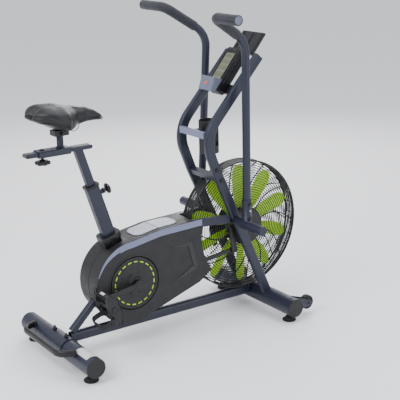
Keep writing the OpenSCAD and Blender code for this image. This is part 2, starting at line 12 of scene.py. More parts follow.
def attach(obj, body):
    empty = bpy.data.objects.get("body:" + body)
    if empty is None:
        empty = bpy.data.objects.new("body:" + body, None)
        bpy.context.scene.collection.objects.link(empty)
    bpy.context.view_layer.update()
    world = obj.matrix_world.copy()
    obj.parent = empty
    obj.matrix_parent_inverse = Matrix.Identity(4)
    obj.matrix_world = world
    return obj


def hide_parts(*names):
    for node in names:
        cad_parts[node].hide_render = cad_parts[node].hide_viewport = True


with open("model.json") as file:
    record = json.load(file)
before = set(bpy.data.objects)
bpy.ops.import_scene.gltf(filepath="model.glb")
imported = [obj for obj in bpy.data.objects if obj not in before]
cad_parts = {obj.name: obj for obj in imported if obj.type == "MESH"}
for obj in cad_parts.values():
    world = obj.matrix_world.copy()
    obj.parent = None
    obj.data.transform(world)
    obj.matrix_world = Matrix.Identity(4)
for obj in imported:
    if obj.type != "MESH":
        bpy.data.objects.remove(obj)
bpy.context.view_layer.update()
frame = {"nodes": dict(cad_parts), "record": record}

rad = math.radians
TO_ROW = Matrix.Scale(0.001, 4) @ Matrix.Translation((0, -511.5, 0))
CRANK = Vector((0, 294, 262))
FAN = Vector((0, 847, 378))
LEVER = Vector((0, 755, 430))
CRANK_ARM, CRANK_DIP, PEDAL_TILT = 170, 9, 112
PEDAL_MID, PEDAL_ARC, PEDAL_OFFSET = 161, 112.7, 86.7
STRAP_SHIFT, STRAP_HEIGHT = -35, 41.2
LEVER_LEAN = {1: 0.3, -1: 3.7}
ACROSS = Vector((1, 0, 0))
NODE_BODY = {node: body for body, nodes in frame["record"]["behaviour"]["bodies"].items() for node in nodes}


# ---- camera, floor and light ----
def set_camera(turn, climb, roll, place, lens):
    back = Vector((math.sin(turn) * math.cos(climb), -math.cos(turn) * math.cos(climb), math.sin(climb)))
    right = (-back).cross(Vector((0, 0, 1))).normalized()
    up = right.cross(-back)
    right, up = (math.cos(roll) * right + math.sin(roll) * up, math.cos(roll) * up - math.sin(roll) * right)
    camera = bpy.data.objects.new("camera", bpy.data.cameras.new("camera"))
    camera.matrix_world = Matrix.Translation(place) @ Matrix((right, up, back)).transposed().to_4x4()
    camera.data.lens = lens
    camera.data.sensor_width = 36
    bpy.context.scene.collection.objects.link(camera)
    bpy.context.scene.camera = camera


def add_light(name, place, target, size, power, tint=(1, 1, 1)):
    lamp = bpy.data.lights.new(name, "AREA")
    lamp.shape = "RECTANGLE"
    lamp.size, lamp.size_y = size
    lamp.energy = power
    lamp.color = tint
    light = bpy.data.objects.new(name, lamp)
    light.location = place
    light.rotation_euler = (Vector(target) - Vector(place)).to_track_quat("-Z", "Y").to_euler()
    bpy.context.scene.collection.objects.link(light)


set_camera(rad(56.186), rad(16.133), rad(-1.557), (3.26366, -2.04383, 1.64973), 91.24)
add_light("key", (0.6, -3.4, 3.4), (0, 0, 0.5), (2.6, 2.2), 150, (0.96, 0.98, 1))
add_light("top", (0.2, 0.6, 3.6), (0, 0, 0.4), (2.4, 3.0), 70, (0.95, 0.97, 1))
add_light("side", (3.6, 1.6, 1.6), (0, 0, 0.6), (1.2, 2.4), 45, (0.92, 0.95, 1))
add_light("back", (-2.8, 2.2, 2.2), (0, 0, 0.6), (2.0, 2.0), 60)
world = bpy.data.worlds.new("studio")
bpy.context.scene.world = world
world.use_nodes = True
world.node_tree.nodes["Background"].inputs["Color"].default_value = (0.93, 0.95, 1, 1)
world.node_tree.nodes["Background"].inputs["Strength"].default_value = 1.0


# ---- shader groups ----
def new_group(name, inputs, outputs):
    group = bpy.data.node_groups.new(name, "ShaderNodeTree")
    for label, kind, value in inputs:
        socket = group.interface.new_socket(name=label, in_out="INPUT", socket_type=kind)
        socket.default_value = value
    for label, kind in outputs:
        group.interface.new_socket(name=label, in_out="OUTPUT", socket_type=kind)
    return group, group.nodes.new("NodeGroupInput"), group.nodes.new("NodeGroupOutput")


def node(tree, kind, settings=None, **values):
    made = tree.nodes.new(kind)
    for key, value in (settings or {}).items():
        setattr(made, key, value)
    for key, value in values.items():
        made.inputs[key.replace("_", " ")].default_value = value
    return made


def maths(tree, operation, first, second):
    made = tree.nodes.new("ShaderNodeMath")
    made.operation = operation
    made.use_clamp = True
    for socket, value in zip(made.inputs, (first, second)):
        if isinstance(value, (int, float)):
            socket.default_value = value
        else:
            tree.links.new(value, socket)
    return made.outputs[0]


FLOAT, COLOUR, VECTOR = "NodeSocketFloat", "NodeSocketColor", "NodeSocketVector"


def cloudy_group():
    """Soft change of shade and gloss over a surface."""
    group, given, result = new_group(
        "cloudy", [("Colour", COLOUR, (0.1, 0.1, 0.1, 1)), ("Light", COLOUR, (0.2, 0.2, 0.2, 1)), ("Scale", FLOAT, 8),
                   ("Amount", FLOAT, 0.3), ("Gloss low", FLOAT, 0.35), ("Gloss high", FLOAT, 0.5)],
        [("Colour", COLOUR), ("Roughness", FLOAT)])
    link = group.links.new
    place = node(group, "ShaderNodeTexCoord")
    noise = node(group, "ShaderNodeTexNoise", Detail=5.0, Roughness=0.6)
    link(place.outputs["Object"], noise.inputs["Vector"])
    link(given.outputs["Scale"], noise.inputs["Scale"])
    share = maths(group, "MULTIPLY", noise.outputs["Fac"], given.outputs["Amount"])
    mix = node(group, "ShaderNodeMix", {"data_type": "RGBA"})
    link(share, mix.inputs[0])
    link(given.outputs["Colour"], mix.inputs[6])
    link(given.outputs["Light"], mix.inputs[7])
    link(mix.outputs[2], result.inputs["Colour"])
    smear = node(group, "ShaderNodeTexNoise", Scale=27.0, Detail=3.0)
    link(place.outputs["Object"], smear.inputs["Vector"])
    spread = node(group, "ShaderNodeMapRange")
    link(smear.outputs["Fac"], spread.inputs["Value"])
    spread.inputs["From Min"].default_value = 0.3
    spread.inputs["From Max"].default_value = 0.7
    link(given.outputs["Gloss low"], spread.inputs["To Min"])
    link(given.outputs["Gloss high"], spread.inputs["To Max"])
    link(spread.outputs["Result"], result.inputs["Roughness"])
    return group


def grain_group():
    """Rounded edges with a fine raised grain, for powder coat and moulded plastic."""
    group, given, result = new_group(
        "grain", [("Scale", FLOAT, 900), ("Depth", FLOAT, 0.2), ("Edge", FLOAT, 0.001)], [("Normal", VECTOR)])
    link = group.links.new
    place = node(group, "ShaderNodeTexCoord")
    noise = node(group, "ShaderNodeTexNoise", Detail=2.0)
    link(place.outputs["Object"], noise.inputs["Vector"])
    link(given.outputs["Scale"], noise.inputs["Scale"])
    edge = node(group, "ShaderNodeBevel", {"samples": 4})
    link(given.outputs["Edge"], edge.inputs["Radius"])
    bump = node(group, "ShaderNodeBump", Distance=0.0004)
    link(given.outputs["Depth"], bump.inputs["Strength"])
    link(noise.outputs["Fac"], bump.inputs["Height"])
    link(edge.outputs["Normal"], bump.inputs["Normal"])
    link(bump.outputs["Normal"], result.inputs["Normal"])
    return group


def worn_and_highlit_edge_group():
    """Paler colour along edges, for rubbed wear and also a painted edge highlight, broken up by noise."""
    group, given, result = new_group("worn_and_highlit_edge", [("Colour", COLOUR, (0.1, 0.1, 0.1, 1)),
                                                   ("Worn", COLOUR, (0.3, 0.3, 0.3, 1)), ("Amount", FLOAT, 0.5)],
                                     [("Colour", COLOUR)])
    link = group.links.new
    edge = node(group, "ShaderNodeBevel", {"samples": 4}, Radius=0.0016)
    flat = node(group, "ShaderNodeNewGeometry")
    dot = node(group, "ShaderNodeVectorMath", {"operation": "DOT_PRODUCT"})
    link(edge.outputs["Normal"], dot.inputs[0])
    link(flat.outputs["Normal"], dot.inputs[1])
    bend = maths(group, "SUBTRACT", 1.0, dot.outputs["Value"])
    place = node(group, "ShaderNodeTexCoord")
    noise = node(group, "ShaderNodeTexNoise", Scale=45.0, Detail=4.0)
    link(place.outputs["Object"], noise.inputs["Vector"])
    broken = maths(group, "MULTIPLY", maths(group, "MULTIPLY", bend, 6.0), noise.outputs["Fac"])
    mix = node(group, "ShaderNodeMix", {"data_type": "RGBA"})
    link(maths(group, "MULTIPLY", broken, given.outputs["Amount"]), mix.inputs[0])
    link(given.outputs["Colour"], mix.inputs[6])
    link(given.outputs["Worn"], mix.inputs[7])
    link(mix.outputs[2], result.inputs["Colour"])
    return group


CLOUDY, GRAIN, WORN_AND_LIT_EDGE = cloudy_group(), grain_group(), worn_and_highlit_edge_group()


def finish(name, slot, colour, light, gloss, metal=0.0, scale=8, amount=0.4, grain=(900, 0.2), edge=0.001, wear_and_highlight=0.0,
           worn_and_lit=(0.3, 0.3, 0.32), sheen=0.0, coat=0.0):
    """A painted or moulded finish made of the shared groups."""
    material = bpy.data.materials.new(name)
    material.use_nodes = True
    tree = material.node_tree
    shader = tree.nodes["Principled BSDF"]
    cloudy = node(tree, "ShaderNodeGroup", {"node_tree": CLOUDY})
    for label, value in (("Colour", (*colour, 1)), ("Light", (*light, 1)), ("Scale", scale), ("Amount", amount),
                         ("Gloss low", gloss[0]), ("Gloss high", gloss[1])):
        cloudy.inputs[label].default_value = value
    source = cloudy.outputs["Colour"]
    # Paler edges here stand for rubbed wear and also paint an edge highlight.
    if wear_and_highlight:
        rubbed_and_lit = node(tree, "ShaderNodeGroup", {"node_tree": WORN_AND_LIT_EDGE}, Worn=(*worn_and_lit, 1), Amount=wear_and_highlight)
        tree.links.new(source, rubbed_and_lit.inputs["Colour"])
        source = rubbed_and_lit.outputs["Colour"]
    tree.links.new(source, shader.inputs["Base Color"])
    tree.links.new(cloudy.outputs["Roughness"], shader.inputs["Roughness"])
    surface = node(tree, "ShaderNodeGroup", {"node_tree": GRAIN}, Scale=grain[0], Depth=grain[1], Edge=edge)
    tree.links.new(surface.outputs["Normal"], shader.inputs["Normal"])
    shader.inputs["Metallic"].default_value = metal
    shader.inputs["Specular IOR Level"].default_value = 0.4
    shader.inputs["Sheen Weight"].default_value = sheen
    shader.inputs["Coat Weight"].default_value = coat
    shader.inputs["Coat Roughness"].default_value = 0.25
    material["slot"] = slot
    return material


def add_relief(material, height, distance, strength=0.6):
    """Puts a further raised pattern over a finish."""
    tree = material.node_tree
    shader = tree.nodes["Principled BSDF"]
    under = shader.inputs["Normal"].links[0].from_socket
    bump = node(tree, "ShaderNodeBump", Distance=distance, Strength=strength)
    tree.links.new(height, bump.inputs["Height"])
    tree.links.new(under, bump.inputs["Normal"])
    tree.links.new(bump.outputs["Normal"], shader.inputs["Normal"])


frame_paint = finish("frame_paint", "frame_paint", (0.011, 0.013, 0.028), (0.022, 0.025, 0.044), (0.34, 0.46),
                     scale=5, grain=(650, 0.22), edge=0.0012, wear_and_highlight=0.12, worn_and_lit=(0.06, 0.065, 0.09))
# Pale blue-grey trim finish: partly the trim's own paint, partly a painted highlight standing for light falling on
# its up-facing faces.
light_trim = finish("light_trim", "light_trim", (0.15, 0.165, 0.26), (0.20, 0.215, 0.32), (0.38, 0.48), metal=0.1,
                    grain=(700, 0.15), wear_and_highlight=0.15, worn_and_lit=(0.36, 0.38, 0.46))
cover_plastic = finish("cover_plastic", "cover_plastic", (0.0085, 0.0078, 0.009), (0.015, 0.014, 0.016), (0.46, 0.6),
                       scale=6, grain=(1400, 0.45), edge=0.0025, wear_and_highlight=0.08, worn_and_lit=(0.05, 0.05, 0.055))
black_plastic = finish("black_plastic", "black_plastic", (0.004, 0.004, 0.005), (0.010, 0.010, 0.012), (0.36, 0.5),
                       scale=14, grain=(1100, 0.3), wear_and_highlight=0.1, worn_and_lit=(0.04, 0.04, 0.045))
gloss_black = finish("gloss_black", "black_plastic", (0.002, 0.002, 0.0025), (0.005, 0.005, 0.006), (0.14, 0.24),
                     grain=(300, 0.05), coat=0.2)
rubber = finish("rubber", "rubber", (0.006, 0.006, 0.006), (0.018, 0.017, 0.016), (0.65, 0.8), scale=20,
                grain=(1500, 0.5))
foam = finish("foam_grip", "foam_grip", (0.014, 0.015, 0.022), (0.026, 0.027, 0.037), (0.7, 0.85), scale=30,
              grain=(1600, 0.8), sheen=0.1)
wire_black = finish("wire_black", "wire_black", (0.004, 0.004, 0.005), (0.010, 0.010, 0.011), (0.32, 0.44), scale=12,
                    grain=(800, 0.1), edge=0.0004)
lime_paint = finish("lime_paint", "blade_lime", (0.33, 0.62, 0.006), (0.46, 0.80, 0.015), (0.34, 0.48), scale=9,
                    amount=0.6, grain=(500, 0.12), edge=0.0006)
steel = finish("steel", "steel", (0.34, 0.34, 0.36), (0.46, 0.46, 0.48), (0.26, 0.4), metal=1.0, scale=30,
               grain=(900, 0.1))
tread_silver = finish("tread_silver", "tread_silver", (0.44, 0.44, 0.52), (0.58, 0.58, 0.66), (0.38, 0.52), metal=0.1,
                      scale=18, grain=(900, 0.2))
button_grey = finish("button_grey", "button_grey", (0.11, 0.12, 0.18), (0.15, 0.16, 0.23), (0.38, 0.5),
                     grain=(900, 0.2), wear_and_highlight=0.1)
button_red = finish("button_red", "button_red", (0.72, 0.09, 0.03), (0.82, 0.16, 0.08), (0.25, 0.35),
                    grain=(900, 0.1))
saddle_skin = finish("saddle_skin", "saddle_skin", (0.005, 0.005, 0.006), (0.012, 0.012, 0.014), (0.32, 0.46),
                     scale=16, amount=0.5, grain=(420, 0.25), edge=0.002)
webbing = finish("webbing", "webbing", (0.008, 0.008, 0.009), (0.02, 0.02, 0.021), (0.5, 0.65), scale=40,
                 grain=(900, 0.2))
lcd = finish("lcd", "screen", (0.17, 0.18, 0.12), (0.22, 0.23, 0.16), (0.3, 0.4), grain=(900, 0.02))
lcd_ink = finish("lcd_ink", "screen", (0.02, 0.022, 0.015), (0.03, 0.03, 0.02), (0.3, 0.4), grain=(900, 0.02))
white_mark = finish("white_mark", "tread_silver", (0.6, 0.58, 0.56), (0.8, 0.78, 0.75), (0.3, 0.4), grain=(900, 0.1))


def leather_relief(material):
    """Pebbled grain of a soft cover, with faint creases."""
    tree = material.node_tree
    place = node(tree, "ShaderNodeTexCoord")
    cells = node(tree, "ShaderNodeTexVoronoi", {"feature": "DISTANCE_TO_EDGE"}, Scale=520.0)
    tree.links.new(place.outputs["Object"], cells.inputs["Vector"])
    add_relief(material, maths(tree, "MULTIPLY", cells.outputs["Distance"], 3.0), 0.0005, 0.35)
    crease = node(tree, "ShaderNodeTexNoise", Scale=18.0, Detail=6.0, Distortion=1.2)
    tree.links.new(place.outputs["Object"], crease.inputs["Vector"])
    add_relief(material, crease.outputs["Fac"], 0.0015, 0.25)


def tread_relief(material):
    """Rows of short raised bars, all leaning the same way."""
    tree = material.node_tree
    place = node(tree, "ShaderNodeTexCoord")
    bars = node(tree, "ShaderNodeTexBrick", {"offset": 0.5}, Scale=1.0, Mortar_Size=0.0022, Mortar_Smooth=0.3,
                Brick_Width=0.016, Row_Height=0.008)
    turn = node(tree, "ShaderNodeMapping")
    turn.inputs["Rotation"].default_value = (0, 0, rad(35))
    tree.links.new(place.outputs["Object"], turn.inputs["Vector"])
    tree.links.new(turn.outputs["Vector"], bars.inputs["Vector"])
    add_relief(material, maths(tree, "SUBTRACT", 1.0, bars.outputs["Fac"]), 0.0015, 0.9)


def weave_relief(material, pitch):
    tree = material.node_tree
    place = node(tree, "ShaderNodeTexCoord")
    threads = node(tree, "ShaderNodeTexWave", {"bands_direction": "DIAGONAL"}, Scale=pitch, Distortion=0.4,
                   Detail=1.0)
    tree.links.new(place.outputs["Object"], threads.inputs["Vector"])
    add_relief(material, threads.outputs["Fac"], 0.0005, 0.5)


leather_relief(saddle_skin)
tread_relief(tread_silver)
weave_relief(webbing, 260)


def brushed_lines(material):
    tree = material.node_tree
    place = node(tree, "ShaderNodeTexCoord")
    stretch = node(tree, "ShaderNodeMapping")
    stretch.inputs["Scale"].default_value = (1, 40, 40)
    lines = node(tree, "ShaderNodeTexNoise", Scale=30.0, Detail=3.0)
    tree.links.new(place.outputs["Object"], stretch.inputs["Vector"])
    tree.links.new(stretch.outputs["Vector"], lines.inputs["Vector"])
    add_relief(material, lines.outputs["Fac"], 0.0003, 0.3)


brushed_lines(steel)


# ---- shaping tools ----
def new_shape():
    return bmesh.new()


def ring_points(radius, count, squash=1.0):
    return [Vector((radius * math.cos(2 * math.pi * i / count), squash * radius * math.sin(2 * math.pi * i / count),
                    0)) for i in range(count)]


def box_points(width, depth, corner, count=4):
    points = []
    for i, (sx, sy) in enumerate(((1, 1), (-1, 1), (-1, -1), (1, -1))):
        for k in range(count + 1):
            a = rad(90 * i + 90 * k / count)
            points.append(Vector((sx * (width / 2 - corner) + corner * math.cos(a),
                                  sy * (depth / 2 - corner) + corner * math.sin(a), 0)))
    return points


def loft(shape, outline, places, closed=False):
    """Extrudes a closed outline through a row of placements."""
    first = [shape.verts.new(places[0] @ p) for p in outline]
    edges = [shape.edges.new((a, b)) for a, b in zip(first, first[1:] + first[:1])]
    if not closed:
        bmesh.ops.contextual_create(shape, geom=edges)
    made = list(first)
    for before, after in zip(places, places[1:]):
        grown = bmesh.ops.extrude_edge_only(shape, edges=edges)["geom"]
        verts = [g for g in grown if isinstance(g, bmesh.types.BMVert)]
        edges = [g for g in grown if isinstance(g, bmesh.types.BMEdge)]
        bmesh.ops.transform(shape, matrix=after @ before.inverted(), verts=verts)
        made += verts
    if closed:
        bmesh.ops.bridge_loops(shape, edges=edges + [e for e in shape.edges if all(v in first for v in e.verts)])
    else:
        bmesh.ops.contextual_create(shape, geom=edges)
    return made


def along(points, side=None):
    """Placements that follow a path, with z along it and as little twist as can be."""
    points = [Vector(p) for p in points]
    headings = []
    for i, p in enumerate(points):
        before = (p - points[i - 1]).normalized() if i else Vector()
        after = (points[i + 1] - p).normalized() if i + 1 < len(points) else Vector()
        headings.append((before + after).normalized())
    z = headings[0]
    x = Vector(side) if side else z.orthogonal().normalized()
    places = []
    for p, heading in zip(points, headings):
        turn = z.rotation_difference(heading)
        x = turn @ x
        z = heading
        x = (x - z * x.dot(z)).normalized()
        places.append(Matrix.Translation(p) @ Matrix((x, z.cross(x), z)).transposed().to_4x4())
    return places


def bent(points, radius, steps=8):
    """Path through the given corners with a round bend at each."""
    points = [Vector(p) for p in points]
    radii = radius if isinstance(radius, (list, tuple)) else [radius] * (len(points) - 2)
    path = [points[0]]
    for before, corner, after, bend in zip(points, points[1:], points[2:], radii):
        a = (before - corner).normalized()
        b = (after - corner).normalized()
        half = a.angle(b) / 2
        centre = corner + (a + b).normalized() * bend / math.sin(half)
        start = corner + a * bend / math.tan(half) - centre
        end = corner + b * bend / math.tan(half) - centre
        for k in range(steps + 1):
            t = k / steps
            spread = start.angle(end)
            path.append(centre + (start * math.sin((1 - t) * spread) + end * math.sin(t * spread)) / math.sin(spread))
    return path + [points[-1]]


def tube(shape, points, radius, sides=20, squash=1.0, side=None):
    return loft(shape, ring_points(radius, sides, squash), along(points, side))


def turned(shape, profile, at, axis=ACROSS, steps=64):
    """Turns a profile of (distance along the axis, radius) pairs about the axis."""
    axis = Vector(axis).normalized()
    out = axis.orthogonal().normalized()
    at = Vector(at)
    verts = [shape.verts.new(at + axis * a + out * max(r, 0.0)) for a, r in profile]
    edges = [shape.edges.new(pair) for pair in zip(verts, verts[1:])]
    spun = bmesh.ops.spin(shape, geom=verts + edges, cent=at, axis=axis, dvec=(0, 0, 0), angle=2 * math.pi,
                          steps=steps, use_merge=True)
    return spun


def hoop(shape, at, radius, wire, steps=96, sides=6):
    """Closed ring of round wire about an axis along X."""
    at = Vector(at)
    start = at + Vector((0, 0, radius))
    turn = Matrix.Translation(start) @ Matrix.Rotation(rad(90), 4, "Y") @ Matrix.Rotation(rad(90), 4, "X")
    made = bmesh.ops.create_circle(shape, segments=sides, radius=wire, matrix=turn)["verts"]
    edges = list({e for v in made for e in v.link_edges})
    bmesh.ops.spin(shape, geom=made + edges, cent=at, axis=ACROSS, dvec=(0, 0, 0), angle=2 * math.pi, steps=steps,
                   use_merge=True)


def block(shape, size, place, bevel=0.0, segments=2):
    """Box with softened edges."""
    made = bmesh.ops.create_cube(shape, size=1.0)["verts"]
    bmesh.ops.scale(shape, vec=size, verts=made)
    if bevel:
        edges = list({e for v in made for e in v.link_edges})
        out = bmesh.ops.bevel(shape, geom=edges, offset=bevel, segments=segments, profile=0.5, affect="EDGES",
                              material=-1)
        made = list({v for f in out["faces"] for v in f.verts} | {v for v in made if v.is_valid})
    bmesh.ops.transform(shape, matrix=place, verts=made)
    return made


def at(x, y, z, *turns):
    """Placement at a point with turns given as (degrees, axis letter)."""
    place = Matrix.Translation((x, y, z))
    for degrees, axis in turns:
        place = place @ Matrix.Rotation(rad(degrees), 4, axis)
    return place


def mirrored(shape):
    """Adds the left-hand twin of what is drawn."""
    geometry = shape.verts[:] + shape.edges[:] + shape.faces[:]
    twin = bmesh.ops.duplicate(shape, geom=geometry)["geom"]
    verts = [g for g in twin if isinstance(g, bmesh.types.BMVert)]
    faces = [g for g in twin if isinstance(g, bmesh.types.BMFace)]
    bmesh.ops.scale(shape, vec=(-1, 1, 1), verts=verts)
    bmesh.ops.reverse_faces(shape, faces=faces)


def placed(name, shape, material, body, replaces=(), smooth=35, mend=True, extra=()):
    """Turns a drawn shape into a finished piece on its body."""
    if mend:
        bmesh.ops.remove_doubles(shape, verts=shape.verts, dist=0.01)
        bmesh.ops.recalc_face_normals(shape, faces=shape.faces)
    bmesh.ops.transform(shape, matrix=TO_ROW, verts=shape.verts)
    mesh = bpy.data.meshes.new(name)
    shape.to_mesh(mesh)
    shape.free()
    for finish_used in (material, *extra):
        mesh.materials.append(finish_used)
    mesh.shade_smooth()
    mesh.set_sharp_from_angle(angle=rad(smooth))
    piece = bpy.data.objects.new(name, mesh)
    bpy.context.scene.collection.objects.link(piece)
    weighted = piece.modifiers.new("even_shading", "WEIGHTED_NORMAL")
    weighted.keep_sharp = True
    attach(piece, body)
    if replaces:
        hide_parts(*replaces)
    return piece


def refined(source, material, smooth=32, extra=(), choose=None):
    """A frame node's own shape, merged and smoothly shaded, in its real finish."""
    shape = bmesh.new()
    shape.from_mesh(frame["nodes"][source].data)
    bmesh.ops.transform(shape, matrix=TO_ROW.inverted(), verts=shape.verts)
    bmesh.ops.remove_doubles(shape, verts=shape.verts, dist=0.02)
    if choose:
        for face in shape.faces:
            face.material_index = choose(face.calc_center_median())
    return placed(source + "_finished", shape, material, NODE_BODY[source], [source], smooth, mend=False, extra=extra)


# ---- frame tubes and plain parts in their own shape ----
for name in ("rear_stabiliser", "front_stabiliser", "clamp_plate", "lower_rail", "inner_frame", "seat_tube", "legs",
             "masts", "side_tubes", "seat_post", "seat_slider"):
    refined(name, frame_paint)
for name in ("lever_right", "lever_left"):
    refined(name, frame_paint, extra=(black_plastic,), choose=lambda c: 1 if abs(c.x) < 82 else 0)
for name in ("lever_bushes", "tube_collar", "tube_boot", "saddle_clamp", "console_body", "device_tray", "bottle_cage",
             "pedal_right", "pedal_left", "drive_pulley"):
    refined(name, black_plastic)
for name in ("fan_brackets", "frame_bolts", "crank_arms", "rod_right", "rod_left"):
    refined(name, wire_black)
for name in ("cover_right", "cover_left", "cover_band"):
    refined(name, cover_plastic)
for name in ("fan_axle", "crank_axle"):
    refined(name, steel)
# Cover trims in the pale trim finish; their brightness is partly a painted highlight for their up-facing faces.
refined("cover_trims", light_trim)
refined("tread_pads", tread_silver)
refined("drive_belt", rubber)
refined("grip_right", foam)
refined("grip_left", foam)
refined("button_box", button_grey)
# Mast bars between 700 and 900 mm high take the pale trim finish, partly a painted highlight from light on their
# upper faces; below is frame paint, above black plastic.
refined("mast_bars", light_trim, extra=(frame_paint, black_plastic),
        choose=lambda c: 1 if c.z < 700 else (2 if c.z > 900 else 0))


# ---- stabiliser ends, feet, wheels and handle ----
def stabiliser_caps():
    shape = new_shape()
    for y in (0, 925):
        turned(shape, [(259, 0), (259, 35.6), (275, 35.6), (275, 38), (277.5, 38), (279, 36.5), (279, 31),
                       (277.8, 30), (277.8, 0)], (0, y, 64.5), steps=72)
    mirrored(shape)
    placed("stabiliser_caps_finished", shape, cover_plastic, "root", ["stabiliser_caps"])


def levelling_feet():
    shape = new_shape()
    for y in (0, 925):
        turned(shape, [(0, 0), (0, 25), (1, 27), (3, 28), (6, 28), (7.5, 26.5), (8, 22), (13, 19), (14, 17), (14, 0)],
               (233, y, 0), (0, 0, 1), 48)
        turned(shape, [(14, 0), (14, 8), (16, 8), (16, 7.4), (18, 8), (20, 7.4), (22, 8), (24, 7.4), (29, 8),
                       (29, 0)], (233, y, 0), (0, 0, 1), 24)
        turned(shape, [(15, 0), (15, 14), (16, 15), (20, 15), (21, 14), (21, 0)], (233, y, 0), (0, 0, 1), 6)
        for k in range(12):
            spot = Matrix.Rotation(rad(30 * k), 4, "Z")
            block(shape, (3, 3, 5), Matrix.Translation((233, y, 4.5)) @ spot @ Matrix.Translation((26.6, 0, 0)), 0.8,
                  1)
    mirrored(shape)
    placed("levelling_feet_finished", shape, rubber, "root", ["levelling_feet"])


def transport_wheels():
    for side, body, name in ((1, "wheel_r", "wheel_right"), (-1, "wheel_l", "wheel_left")):
        tyre = new_shape()
        turned(tyre, [(216, 23), (216, 27.5), (217.5, 29.4), (220, 30), (235, 30), (237.5, 29.4), (239, 27.5),
                      (239, 23), (216, 23)], (0, 1020, 56), steps=48)
        hub = new_shape()
        turned(hub, [(213, 4.1), (213, 9), (214, 10), (217, 10), (219, 12), (219, 20), (217.5, 21.5), (217.5, 23.1),
                     (237.5, 23.1), (237.5, 21.5), (236, 20), (236, 12), (238, 10), (241, 10), (242, 9), (242, 4.1),
                     (213, 4.1)], (0, 1020, 56), steps=48)
        for x in (218.4, 236.6):
            for k in range(5):
                spoke = Matrix.Translation((0, 1020, 56)) @ Matrix.Rotation(rad(72 * k), 4, "X")
                block(hub, (1.6, 3.4, 10), spoke @ Matrix.Translation((x, 0, 16)), 0.5, 1)
        for shape in (tyre, hub):
            bmesh.ops.scale(shape, vec=(side, 1, 1), verts=shape.verts)
        placed(name + "_tyre", tyre, rubber, body, [name])
        placed(name + "_hub", hub, black_plastic, body)


def carry_handle():
    shape = new_shape()
    corners = [(-174.5, -24, 96), (-150, -84, 96), (150, -84, 96), (174.5, -24, 96)]
    tube(shape, bent(corners, 46, 12), 13.5, 24, 0.72, side=(0, 0, 1))
    placed("carry_handle_finished", shape, black_plastic, "root", ["carry_handle"], 50)
    ends = new_shape()
    for side in (-1, 1):
        turned(ends, [(-3, 0), (-3, 13), (-1.5, 14.5), (2, 14.5), (2, 0)], (side * 170.5, -33, 96),
               Vector((side * 0.378, 0.926, 0)), 32)
    placed("carry_handle_collars", ends, black_plastic, "root")


def stabiliser_plate():
    """Blank bright grip plate let into the rear stabiliser's right end."""
    shape = new_shape()
    path = [(0, -38.5 * math.sin(rad(a)), 64.5 + 38.5 * math.cos(rad(a))) for a in range(-38, 39, 4)]
    loft(shape, [Vector(p) for p in ((-1, 44, 0), (0, 46, 0), (0.4, 44, 0), (0.4, -44, 0), (0, -46, 0),
                                     (-1, -44, 0))], [Matrix.Translation((205, 0, 0)) @ place
                                                      for place in along(path, side=(0, 0.62, 0.78))])
    placed("stabiliser_plate", shape, white_mark, "root", smooth=25)


stabiliser_caps()
levelling_feet()
transport_wheels()
carry_handle()
stabiliser_plate()

# ---- fan cage, fan and hub covers ----
HUB_R, CAGE_R, HUB_X, RIM_X = 76, 270, 53, 30


def cage_depth(radius):
    """Distance of the cage's side from the middle at a radius, a shallow dome."""
    t = (radius - HUB_R) / (CAGE_R - HUB_R)
    return HUB_X + (RIM_X - 3 - HUB_X) * (0.35 * t + 0.65 * t * t)


def cut_notch(shape):
    """Leaves the way through the left side for the belt."""
    gone = [f for f in shape.faces if -52 < f.calc_center_median().x < -22
            and 547 < f.calc_center_median().y < 731 and 252 < f.calc_center_median().z < 414]
    bmesh.ops.delete(shape, geom=gone, context="FACES")
    bmesh.ops.holes_fill(shape, edges=[e for e in shape.edges if e.is_boundary], sides=12)


def cage_side(side, name):
    wires = new_shape()
    count = 20
    for i in range(1, count):
        radius = HUB_R + i * (CAGE_R - HUB_R) / count
        hoop(wires, FAN + Vector((cage_depth(radius), 0, 0)), radius, 1.6, 84, 6)
    ribs = new_shape()
    for k in range(10):
        path = []
        for i in range(11):
            t = i / 10
            radius = HUB_R - 3 + t * (CAGE_R - HUB_R + 3)
            lean = rad(36 * k + 26 * math.sin(math.pi * t * 0.5) * t)
            path.append(FAN + Vector((cage_depth(max(radius, HUB_R)) - 2, radius * math.sin(lean),
                                      radius * math.cos(lean))))
        tube(ribs, path, 2.5, 8)
    hoop(ribs, FAN + Vector((HUB_X - 2, 0, 0)), HUB_R, 3.0, 72, 8)
    hoop(ribs, FAN + Vector((RIM_X - 3, 0, 0)), CAGE_R - 0.6, 3.6, 128, 10)
    for shape in (wires, ribs):
        bmesh.ops.scale(shape, vec=(side, 1, 1), verts=shape.verts)
        if side < 0:
            cut_notch(shape)
    placed(name + "_wires", wires, wire_black, "root", [name], 60)
    placed(name + "_ribs", ribs, wire_black, "root", smooth=60)


def cage_rim():
    shape = new_shape()
    for x in (-20, -13, -6.5, 0, 6.5, 13, 20):
        hoop(shape, FAN + Vector((x, 0, 0)), CAGE_R, 1.7, 128, 6)
    for k in range(36):
        spot = Matrix.Translation(FAN) @ Matrix.Rotation(rad(10 * k), 4, "X")
        tube(shape, [spot @ Vector((x, 0, CAGE_R - 1.5)) for x in (-27, -9, 9, 27)], 1.8, 6)
    cut_notch(shape)
    placed("cage_band_finished", shape, wire_black, "root", ["cage_band"], 60)


